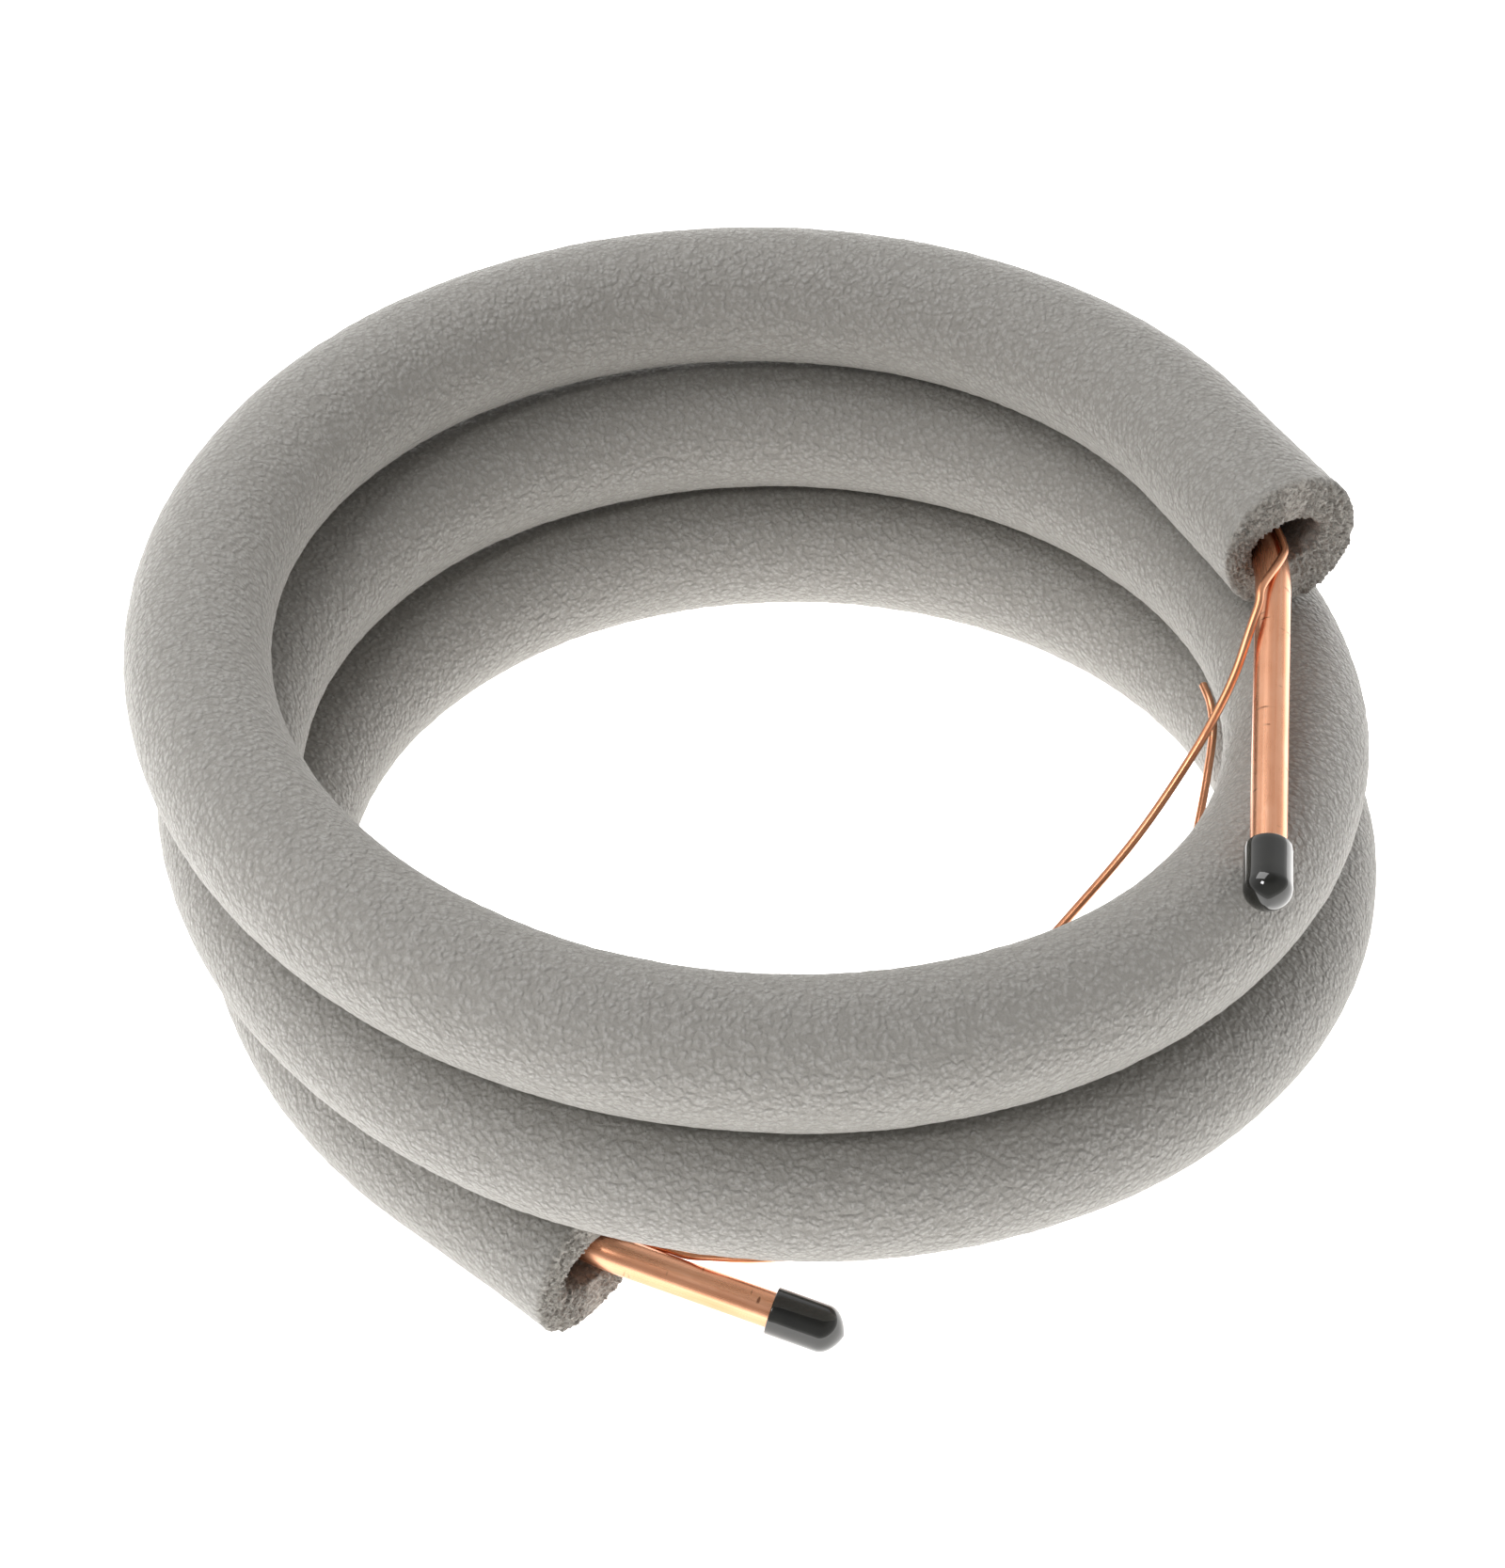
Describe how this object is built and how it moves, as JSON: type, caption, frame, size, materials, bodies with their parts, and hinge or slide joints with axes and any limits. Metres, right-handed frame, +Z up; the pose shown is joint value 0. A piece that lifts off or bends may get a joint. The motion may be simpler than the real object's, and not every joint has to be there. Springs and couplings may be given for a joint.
{
  "type": "insulated capillary tube and suction line",
  "caption": "Loose coil of refrigeration line: a copper suction tube with a thin capillary tube beside it in one foam sleeve, both tubes bare at the ends, the wide one capped.",
  "frame": {"origin": "middle of the coil's outline, on the floor that the coil lies on", "axes": "+Z up, out of the flat coil; +X to the right and -Y toward the viewer of the picture"},
  "size_m": [0.2812, 0.2864, 0.1037],
  "materials": {
    "foam": "closed-cell polyethylene foam, fine pebbled skin, matt",
    "copper": "bright drawn copper, lengthwise sheen",
    "capillary_copper": "drawn copper, slightly dulled",
    "vinyl": "dipped soft vinyl, glossy"
  },
  "bodies": {
    "root": {"insulation_sleeve": "foam", "suction_tube": "copper", "capillary_tube": "capillary_copper", "upper_end_cap": "vinyl", "lower_end_cap": "vinyl"}
  },
  "joints": []
}
